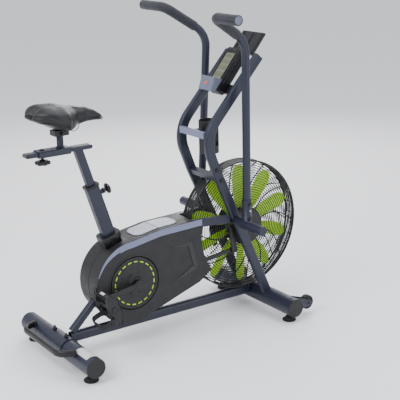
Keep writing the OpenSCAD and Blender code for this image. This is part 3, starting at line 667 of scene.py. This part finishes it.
def fan_blades():
    shape = new_shape()
    for k in range(10):
        spin = Matrix.Translation(FAN) @ Matrix.Rotation(rad(36 * k), 4, "X")
        places = []
        for t, width in ((0, 0.5), (0.1, 0.62), (0.25, 0.78), (0.45, 0.92), (0.65, 1.0), (0.78, 1.0), (0.86, 0.94),
                         (0.92, 0.8), (0.965, 0.58), (0.99, 0.34), (1.0, 0.16)):
            radius = 58 + t * 192
            lean = Matrix.Rotation(rad(70 + 4 * t), 4, "Z")
            sway = Matrix.Translation((0, 0, radius))
            places.append(spin @ sway @ lean @ Matrix.Diagonal((width, 1 - 0.5 * t * t, 1, 1)))
        # a cambered section, 2 mm thick
        upper = [Vector((x, 1.1 + 4 * (1 - (x / 29) ** 2) - 2, 0)) for x in (-29, -20, -10, 0, 10, 20, 29)]
        lower = [Vector((x, -1.1 + 4 * (1 - (x / 29) ** 2) - 2, 0)) for x in (29, 20, 10, 0, -10, -20, -29)]
        loft(shape, upper + lower, places)
    placed("fan_blades_finished", shape, lime_paint, "fan", ["fan_blades"], 40)


def fan_hub():
    shape = new_shape()
    turned(shape, [(-46, 8), (-46, 24), (-44.5, 25), (-43, 25), (-43, 22), (-29, 22), (-29, 25), (-26, 25), (-26, 14),
                   (-20, 14), (-20, 56), (-16, 62), (16, 62), (22, 58), (24, 50), (24, 30), (20, 26), (20, 8),
                   (-46, 8)], FAN, steps=72)
    for k in range(10):
        spot = Matrix.Translation(FAN) @ Matrix.Rotation(rad(36 * k), 4, "X")
        block(shape, (22, 7, 12), spot @ Matrix.Translation((0, 0, 62)) @ Matrix.Rotation(rad(70), 4, "Z"), 1.5, 1)
    placed("fan_hub_finished", shape, black_plastic, "fan", ["fan_hub"])


def hub_covers():
    shape = new_shape()
    turned(shape, [(47, 72), (47, 74), (56, 74), (57.5, 72.5), (57.8, 70), (57.2, 66), (57.8, 62), (58, 40), (57, 30),
                   (58, 26), (58, 14), (57, 12), (57, 8), (55, 8), (55, 72), (47, 72)], FAN, steps=72)
    for k in range(3):
        spot = Matrix.Translation(FAN) @ Matrix.Rotation(rad(120 * k + 20), 4, "X")
        turned(shape, [(57, 0), (57, 4), (59, 4), (59.6, 2.5), (59.6, 0)], spot @ Vector((0, 0, 50)), steps=12)
    mirrored(shape)
    placed("hub_covers_finished", shape, cover_plastic, "root", ["hub_covers"])


cage_side(1, "cage_right")
cage_side(-1, "cage_left")
cage_rim()
fan_blades()
fan_hub()
hub_covers()


# ---- covers and crank ----
def crank_discs():
    shape = new_shape()
    turned(shape, [(66.5, 10), (66.5, 104), (70.5, 104), (71.8, 102.5), (71.8, 95), (70.2, 93), (70.2, 80),
                   (71.5, 78), (71.5, 60), (70.9, 59), (71.5, 58), (71.5, 34), (73, 31), (76, 27), (83, 25), (84, 23),
                   (84, 10), (66.5, 10)], CRANK, steps=96)
    for a, r in ((-25, 44), (25, 44), (155, 44), (205, 44)):
        spot = Matrix.Translation(CRANK) @ Matrix.Rotation(rad(a), 4, "X")
        turned(shape, [(71, 0), (71, 4.5), (72.6, 4.5), (73.2, 3.4), (73.2, 1.6), (72.2, 1.4), (72.2, 0)],
               spot @ Vector((0, 0, r)), steps=16)
    mirrored(shape)
    placed("crank_discs_finished", shape, cover_plastic, "crank", ["crank_discs"])
    dashes = new_shape()
    for k in range(20):
        turns = [rad(18 * k + 2.6 * i) for i in range(5)]
        path = [CRANK + Vector((70.9, 86.5 * math.sin(turn), 86.5 * math.cos(turn))) for turn in turns]
        loft(dashes, box_points(1.6, 4.2, 0.6, 2), along(path, side=(1, 0, 0)))
    mirrored(dashes)
    placed("crank_ring_dashes", dashes, lime_paint, "crank")
    ends = new_shape()
    turned(ends, [(96, 0), (96, 10.5), (104, 10.5), (105.2, 9.2), (105.2, 6), (103.6, 5.4), (103.6, 0)], CRANK,
           steps=36)
    mirrored(ends)
    placed("crank_end_caps", ends, gloss_black, "crank")


def cover_details():
    lip = new_shape()
    turned(lip, [(69.5, 107.2), (71.6, 107.8), (72.2, 109), (72.2, 112.5), (71.4, 114), (69.5, 114.5), (69.5, 107.2)],
           CRANK, steps=96)
    mirrored(lip)
    placed("crank_surrounds", lip, cover_plastic, "root")
    seam = new_shape()
    path = [(0, 294 + 164.1 * math.cos(rad(a)), 268 + 164.1 * math.sin(rad(a))) for a in range(122, 222, 4)]
    loft(seam, box_points(0.9, 1.6, 0.3, 1), along(path, side=(0, 0, 1)))
    placed("cover_seam", seam, rubber, "root")
    # Gloss-black wedges along the panel's right and bottom edges, with a row of small ribs: painted shade, dark slabs
    # standing for the shadow inside the panel's sloping recess.
    shade_facets = new_shape()
    for corners in (((562, 373), (588, 258), (566, 274), (546, 360)), ((588, 258), (476, 224), (566, 276)),
                    ((455, 368), (562, 373), (546, 360))):
        low = [shade_facets.verts.new((69.4, y, z)) for y, z in corners]
        face = shade_facets.faces.new(low)
        grown = bmesh.ops.extrude_face_region(shade_facets, geom=[face])["geom"]
        bmesh.ops.translate(shade_facets, vec=(1.1, 0, 0), verts=[g for g in grown if isinstance(g, bmesh.types.BMVert)])
    for k in range(4):
        block(shade_facets, (1.6, 7, 13), at(69.4, 569 + 3.2 * k, 340 - 17 * k, (-12, "X")), 0.4, 1)
    mirrored(shade_facets)
    placed("cover_panel_painted_shade", shade_facets, gloss_black, "root")
    # Tapering trim tails in the pale trim finish, which is partly a painted highlight.
    tail = new_shape()
    hub = Vector((70.2, CRANK.y, CRANK.z + 6))
    path = [rad(98 + 5 * i) for i in range(14)]
    places = []
    for i, turn in enumerate(path):
        width = 1 - 0.88 * i / 13
        radius = 163 - 12.5 * width
        places.append(Matrix.Translation(hub + Vector((0, radius * math.cos(turn), radius * math.sin(turn))))
                      @ Matrix.Rotation(turn, 4, "X") @ Matrix.Diagonal((1, width, 1, 1)))
    loft(tail, box_points(2.4, 25, 0.8, 2), places)
    mirrored(tail)
    placed("cover_trim_tails", tail, light_trim, "root")
    screws = new_shape()
    for y, z in ((553, 422), (440, 160), (372, 132), (598, 262)):
        turned(screws, [(69.5, 0), (69.5, 4.6), (70.6, 4.6), (71, 3.6), (71, 1.6), (70, 1.4), (70, 0)], (0, y, z),
               steps=16)
    mirrored(screws)
    placed("cover_screws", screws, gloss_black, "root")


crank_discs()
cover_details()


# ---- pedals and toe straps ----
def pedal_place(side):
    dip = rad(CRANK_DIP if side > 0 else CRANK_DIP + 180)
    spot = (0, CRANK.y - CRANK_ARM * math.cos(dip), CRANK.z - CRANK_ARM * math.sin(dip))
    return Matrix.Translation(spot) @ Matrix.Rotation(rad(PEDAL_TILT), 4, "X")


def lens_path(count=14, inset=0.0):
    """Outline of a pedal's end: two arcs that meet in points."""
    half = math.acos(PEDAL_OFFSET / PEDAL_ARC)
    reach = PEDAL_ARC - inset
    upper = [(reach * math.sin(a), reach * math.cos(a) - PEDAL_OFFSET) for a in
             [half * (1 - 2 * i / count) * 0.985 for i in range(count + 1)]]
    return upper + [(-y, -z) for y, z in upper]


def pedal_details():
    for side, body in ((1, "pedal_r"), (-1, "pedal_l")):
        letter = "right" if side > 0 else "left"
        place = pedal_place(side)
        trim = new_shape()
        for x in (111.5, 210.5):
            ring = lens_path()
            points = [place @ Vector((x, y, z)) for y, z in ring]
            loft(trim, box_points(2.4, 2.4, 0.8, 2), along(points + points[:1], side=(1, 0, 0)))
        turned(trim, [(208, 0), (208, 13.5), (212, 13.5), (213.2, 12.2), (213.2, 9), (211.8, 8.4), (211.8, 0)],
               place @ Vector((0, 0, 0)), place.to_3x3() @ ACROSS, 32)
        for y in (-55, 55):
            for i in range(9):
                block(trim, (4, 12, 3), place @ at(126 + 8.8 * i, y, 10.5), 0.7, 1)
                block(trim, (4, 12, 3), place @ at(126 + 8.8 * i, y, -10.5), 0.7, 1)
        for y in (-27, 27):
            block(trim, (78, 6, 12), place @ at(161, y, 0), 1.5, 1)
        mark = new_shape()
        block(mark, (26, 3, 10), place @ at(161, 61.3, 0), 1.0, 2)
        strap = new_shape()
        outline = [(x, z) for x, z, _ in [tuple(p) for p in box_points(97.6, 57.6, 22.8, 6)]]
        points = [place @ Vector((PEDAL_MID + x, STRAP_SHIFT, STRAP_HEIGHT + z)) for x, z in outline]
        loft(strap, box_points(2.4, 22, 1.1, 2), along(points + points[:1],
                                                       side=(place.to_3x3() @ Vector((1, 0, 0)))))
        tail = [place @ Vector((x, STRAP_SHIFT + 2, z)) for x, z in
                ((199, 71.6), (208, 68), (213.4, 60), (214, 48), (214.6, 30))]
        loft(strap, box_points(2.2, 20, 1.0, 2), along(tail, side=place.to_3x3() @ Vector((0, 0, 1))))
        for z in (30, 38, 46, 54):
            block(strap, (2.6, 19, 2.2), place @ at(215.2, STRAP_SHIFT + 2, z), 0.6, 1)
        buckle = new_shape()
        block(buckle, (9, 28, 20), place @ at(213.5, STRAP_SHIFT, 24), 2.2, 2)
        block(buckle, (5, 22, 12), place @ at(218.2, STRAP_SHIFT, 22), 1.6, 2)
        block(buckle, (3, 30, 4), place @ at(216, STRAP_SHIFT, 34), 1.0, 1)
        eyelets = new_shape()
        for x in (150, 161, 172, 183):
            turned(eyelets, [(69.6, 0), (69.6, 2.4), (70.9, 2.4), (71.2, 1.4), (70.2, 1.2), (70.2, 0)],
                   place @ Vector((x, STRAP_SHIFT, 0)), place.to_3x3() @ Vector((0, 0, 1)), 14)
        for shape in (trim, mark, strap, buckle, eyelets):
            bmesh.ops.scale(shape, vec=(side, 1, 1), verts=shape.verts)
        placed(f"pedal_{letter}_edges", trim, black_plastic, body)
        placed(f"pedal_{letter}_reflector", mark, white_mark, body)
        placed(f"strap_{letter}_band", strap, webbing, body, [f"strap_{letter}"], 40)
        placed(f"strap_{letter}_buckle", buckle, black_plastic, body)
        placed(f"strap_{letter}_eyelets", eyelets, steel, body)


pedal_details()


# ---- lever fittings ----
def lever_details():
    for side, body in ((1, "lever_r"), (-1, "lever_l")):
        letter = "right" if side > 0 else "left"
        place = Matrix.Translation(LEVER) @ Matrix.Rotation(rad(-LEVER_LEAN[side]), 4, "X")
        axis = place.to_3x3() @ ACROSS
        up = place.to_3x3() @ Vector((0, 0, 1))
        dark = new_shape()
        for z in (26, 86):
            turned(dark, [(178, 0), (178, 8.6), (182, 8.6), (186, 7.6), (187.6, 5.4), (187.6, 3), (185.6, 2.6),
                          (185.6, 0)], place @ Vector((0, 13, z)), axis, 24)
        turned(dark, [(100, 16.1), (100, 19.3), (102, 19.3), (103.5, 17.6), (103.5, 16.1), (100, 16.1)],
               place @ Vector((162, 13, 0)), up, 40)
        stud = new_shape()
        turned(stud, [(178, 0), (178, 5), (184, 5), (185.6, 4), (186, 2), (186, 0)], place @ Vector((0, 13, 58)),
               axis, 20)
        caps = new_shape()
        peg = new_shape()
        turned(peg, [(283, 0), (283, 18.9), (284.6, 18.2), (285, 17), (285, 0)], place @ Vector((0, 0, 0)), axis, 40)
        run = (Vector((360, -166, 831)) - Vector((207, -160, 830))).normalized()
        tip = place @ (Vector((360, -166, 831)) + run * 3.1)
        turned(caps, [(-1, 0), (-1, 15.5), (0.2, 15.5), (0.8, 14.6), (0.8, 0)], tip, place.to_3x3() @ run, 40)
        for shape in (dark, stud, caps, peg):
            bmesh.ops.scale(shape, vec=(side, 1, 1), verts=shape.verts)
        placed(f"lever_{letter}_peg_cap", peg, frame_paint, body)
        placed(f"lever_{letter}_bolts", dark, black_plastic, body)
        placed(f"lever_{letter}_button", stud, steel, body)
        placed(f"lever_{letter}_caps", caps, button_grey, body)


lever_details()


# ---- console ----
def console_details():
    place = at(0, 715, 962, (-39.8, "X"))
    screen = new_shape()
    block(screen, (57.4, 1.0, 120.4), place @ at(0, 1.2, 106.5))
    placed("screen_backing", screen, lcd, "root", ["console_lens"])
    digits = new_shape()
    for z, tall in ((153, 17), (126, 17), (98, 19), (68, 19)):
        for x in (-19, -6.5, 6.5, 19):
            for dx, dz, w, h in ((0, 0.5, 7, 1.6), (0, 0, 7, 1.6), (0, -0.5, 7, 1.6), (-0.5, 0.25, 1.6, 0),
                                 (0.5, 0.25, 1.6, 0), (-0.5, -0.25, 1.6, 0), (0.5, -0.25, 1.6, 0)):
                block(digits, (w if h else 1.6, 0.5, h if h else tall / 2 - 1.8),
                      place @ at(x + dx * 8.4, 0.5, z + dz * tall))
    for z in (139.5, 112, 83, 55):
        block(digits, (50, 0.4, 0.7), place @ at(0, 0.5, z))
    placed("screen_segments", digits, lcd_ink, "root")
    rim = new_shape()
    corners = [Vector((x, 0, 106.5 + z)) for x, z, _ in [tuple(p) for p in box_points(62, 126, 5, 5)]]
    points = [place @ p for p in corners]
    loft(rim, box_points(4.5, 3.4, 1.2, 2), along(points + points[:1], side=place.to_3x3() @ Vector((0, 1, 0))))
    for side in (-1, 1):
        for i in range(15):
            block(rim, (2.2, 7, 5), place @ at(side * 42.4, 16, 40 + 8 * i, (45, "X")), 0.9, 1)
    block(rim, (60, 1.6, 10), place @ at(0, -0.4, 181), 0.7, 2)
    placed("console_rim", rim, gloss_black, "root")
    back = new_shape()
    block(back, (72, 8, 150), place @ at(0, 48, 100), 3, 2)
    placed("console_back_panel", back, black_plastic, "root")
    shelf = new_shape()
    for x in (-60, 0, 60):
        block(shelf, (14, 3, 92), place @ at(x, 39.2, 244), 1.2, 2)
    block(shelf, (138, 5, 5), place @ at(0, 24, 200), 1.6, 2)
    placed("tray_ribs", shelf, rubber, "root")
    button = at(0, 699, 985, (-20, "X"))
    knob = new_shape()
    turned(knob, [(-4.0, 0), (-4.2, 3.5), (-3.6, 6.2), (-3, 6.9), (4, 6.9), (4, 0)], button @ Vector((0, 0, 0)),
           button.to_3x3() @ Vector((0, 1, 0)), 40)
    placed("console_button_finished", knob, button_red, "button", ["console_button"])
    # Ring round the button in the pale trim finish, which is partly a painted highlight.
    ring = new_shape()
    turned(ring, [(-0.8, 7.5), (-1.2, 9.6), (-0.6, 11), (0.5, 11), (0.5, 7.5), (-0.8, 7.5)],
           button @ Vector((0, 0, 0)), button.to_3x3() @ Vector((0, 1, 0)), 40)
    placed("button_ring", ring, light_trim, "root")


console_details()


# ---- seat: knobs, rail ends and saddle ----
def knobs():
    shape = new_shape()
    star = []
    for i in range(72):
        a = 2 * math.pi * i / 72
        r = 25.5 + 3.2 * math.cos(6 * a)
        star.append(Vector((r * math.cos(a), r * math.sin(a), 0)))
    places = [Matrix.Translation((0, -24, z)) @ Matrix.Diagonal((s, s, 1, 1)) for z, s in
              ((771, 0.62), (771.4, 0.86), (773, 0.96), (776, 1), (782, 1), (785, 0.94), (786, 0.8))]
    loft(shape, star, places)
    turned(shape, [(786, 0), (786, 11), (789, 10), (791, 7), (791, 5), (803.2, 5), (803.2, 0)], (0, -24, 0),
           (0, 0, 1), 24)
    placed("slider_knob_finished", shape, black_plastic, "clamp_knob", ["slider_knob"], 40)
    pin = at(0, 171, 636, (17.1, "X"), ) @ at(0, 0, -17, (-90, "X"))
    shape = new_shape()
    turned(shape, [(17, 0), (17, 5), (18, 6), (37, 6), (38, 10.5), (39, 11), (45, 11), (46, 10), (47, 8), (51, 8),
                   (52, 11), (55, 17), (58, 20), (62, 21), (65, 19.5), (68, 15), (70, 8), (70.4, 0)],
           pin @ Vector((0, 0, 0)), pin.to_3x3() @ Vector((0, 0, 1)), 48)
    for k in range(10):
        block(shape, (3, 3, 9), pin @ Matrix.Rotation(rad(36 * k), 4, "Z") @ at(19.6, 0, 60.5), 1.0, 1)
    placed("pin_knob_finished", shape, gloss_black, "pull_pin", ["pin_knob"])


def rail_details():
    shape = new_shape()
    for y, way in ((-86, -1), (165, 1)):
        loft(shape, box_points(40, 16, 5, 3),
             [Matrix.Translation((0, y + way * d,
                                  812)) @ Matrix.Rotation(rad(-90), 4, "X") @ Matrix.Diagonal((s, t, 1, 1)) for d, s,
              t in ((-3, 0.9, 0.9), (0.2, 1, 1), (3, 0.99, 0.96), (7, 0.9, 0.75), (9, 0.78, 0.5))])
    placed("rail_ends", shape, gloss_black, "post")
    top = new_shape()
    turned(top, [(824, 0), (824, 9), (827, 9), (829, 7.5), (829.6, 5), (829.6, 0)], (0, -24, 0), (0, 0, 1), 24)
    turned(top, [(824, 12.6), (824, 17), (827, 16.4), (829, 13.5), (829, 12.6), (824, 12.6)], (0, 50, 0), (0, 0, 1),
           32)
    turned(top, [(868, 12.6), (868, 19), (871, 20.5), (884, 20.5), (888, 18), (888, 12.6), (868, 12.6)], (0, 50, 0),
           (0, 0, 1), 32)
    placed("slider_fittings", top, black_plastic, "slider")
    bolt = new_shape()
    turned(bolt, [(-33, 0), (-33, 6.5), (-28, 6.5), (-28, 4), (28, 4), (28, 7), (34, 7), (34, 0)], (0, 50, 878),
           steps=6)
    placed("saddle_clamp_bolt", bolt, wire_black, "slider")


def ramp(value, table):
    """Smooth value from a table of (position, value) pairs."""
    for (a, va), (b, vb) in zip(table, table[1:]):
        if value <= b:
            t = max(0.0, (value - a) / (b - a))
            t = t * t * (3 - 2 * t)
            return va + (vb - va) * t
    return table[-1][1]


HALF_WIDTH = [(-66, 74), (-40, 96), (10, 107), (45, 104), (80, 78), (115, 48), (160, 36), (200, 30), (230, 24)]
CROWN = [(-66, 976), (-30, 990), (30, 984), (100, 972), (150, 964), (185, 955), (215, 938), (230, 918)]
SKIRT = [(-66, 934), (-30, 922), (30, 900), (72, 886), (92, 892), (112, 904), (160, 908), (230, 903)]


def saddle_form(shape, inset=0.0, drop=0.0):
    """Saddle body with two rear lobes, a valley between them and a long nose."""
    made = bmesh.ops.create_uvsphere(shape, u_segments=64, v_segments=40, radius=1.0,
                                     matrix=Matrix.Rotation(rad(90), 4, "X"))["verts"]
    for v in made:
        sx, sy, sz = v.co
        y = 82 + 148 * math.copysign(abs(math.sin(math.asin(max(-1, min(1, sy))))) ** 0.9, sy)
        round_off = max(1e-4, math.sqrt(max(0, 1 - sy * sy)))
        ux, uz = sx / round_off, sz / round_off
        fullness = (1 - abs(sy) ** (3.4 if sy < 0 else 2.6)) ** (1 / (3.4 if sy < 0 else 2.6))
        square = (abs(ux) ** 2.7 + abs(uz) ** 2.7) ** (1 / 2.7)
        ux, uz = ux / square * fullness, uz / square * fullness
        width = ramp(y, HALF_WIDTH) - inset
        top, bottom = ramp(y, CROWN) - inset - drop, ramp(y, SKIRT) + inset * 0.4 - drop
        middle = top - 0.42 * (top - bottom)
        x = ux * width * (1.0 - 0.10 * max(0, uz) + 0.02 * min(0, uz))
        z = middle + (uz * (top - middle) if uz > 0 else uz * (middle - bottom))
        valley = math.exp(-(x / 20) ** 2)
        back = max(0.0, min(1.0, (70 - y) / 110))
        z -= valley * (3 + 13 * back) * max(0, uz) * (1 if y < 150 else 0.4)
        if y < 20:
            y += valley * 16 * ((20 - y) / 86) ** 2
            y -= 7 * math.exp(-((abs(x) - 48) / 26) ** 2) * ((20 - y) / 86) ** 2
        v.co = (x, y, z)


def saddle():
    shape = new_shape()
    saddle_form(shape, 4.0)
    piece = placed("saddle_pad_finished", shape, saddle_skin, "slider", ["saddle_pad"], 180)
    swell(piece)
    soften = piece.modifiers.new("round", "SUBSURF")
    soften.levels = soften.render_levels = 1
    under = new_shape()
    saddle_form(under, 10.0, 7.0)
    placed("saddle_shell", under, black_plastic, "slider", ["saddle_base"], 60)
    piping = new_shape()
    path = []
    for k in range(72):
        a = 2 * math.pi * k / 72
        y = 82 + 147 * math.cos(a)
        fullness = abs(math.sin(a)) ** 0.62
        x = math.copysign(fullness, math.sin(a)) * (ramp(y, HALF_WIDTH) - 2.5)
        if y < 20:
            y += math.exp(-(x / 20) ** 2) * 14 * ((20 - y) / 86) ** 2
        path.append(Vector((x, y, ramp(y, SKIRT) + 9)))
    loft(piping, ring_points(1.5, 8), along(path + path[:1]))
    placed("saddle_seam", piping, saddle_skin, "slider", smooth=60)


def swell(piece):
    """Blows the cover up a little under pressure, as foam fills it."""
    before = piece.data.copy()
    bpy.context.view_layer.objects.active = piece
    for o in bpy.context.selected_objects:
        o.select_set(False)
    piece.select_set(True)
    remesh = piece.modifiers.new("remesh", "REMESH")
    remesh.mode = "VOXEL"
    remesh.voxel_size = 0.005
    bpy.ops.object.modifier_move_to_index(modifier="remesh", index=0)
    bpy.ops.object.modifier_apply(modifier="remesh")
    start = [v.co.copy() for v in piece.data.vertices]
    cloth = piece.modifiers.new("cloth", "CLOTH")
    bpy.ops.object.modifier_move_to_index(modifier="cloth", index=0)
    settings = cloth.settings
    settings.use_pressure = True
    settings.uniform_pressure_force = 4
    settings.tension_stiffness = settings.compression_stiffness = 25
    settings.bending_stiffness = 4
    settings.effector_weights.gravity = 0
    for moment in range(1, 16):
        bpy.context.scene.frame_set(moment)
    bpy.ops.object.modifier_apply(modifier="cloth")
    for v, old in zip(piece.data.vertices, start):
        step = v.co - old
        if step.length > 0.005:
            v.co = old + step.normalized() * 0.005
    bpy.context.scene.frame_set(1)
    piece.data.shade_smooth()
    bpy.data.meshes.remove(before)


knobs()
rail_details()
saddle()

# ---- floor and its finish ----
floor_shape = bmesh.new()
bmesh.ops.create_grid(floor_shape, x_segments=1, y_segments=1, size=30)
bmesh.ops.translate(floor_shape, vec=(0, 0, -0.0004), verts=floor_shape.verts)
floor_mesh = bpy.data.meshes.new("floor")
floor_shape.to_mesh(floor_mesh)
floor_shape.free()
floor = bpy.data.objects.new("floor", floor_mesh)
bpy.context.scene.collection.objects.link(floor)
pale = bpy.data.materials.new("pale_floor")
pale.use_nodes = True
pale.node_tree.nodes["Principled BSDF"].inputs["Base Color"].default_value = (0.93, 0.93, 0.935, 1)
pale.node_tree.nodes["Principled BSDF"].inputs["Roughness"].default_value = 0.85
floor_mesh.materials.append(pale)
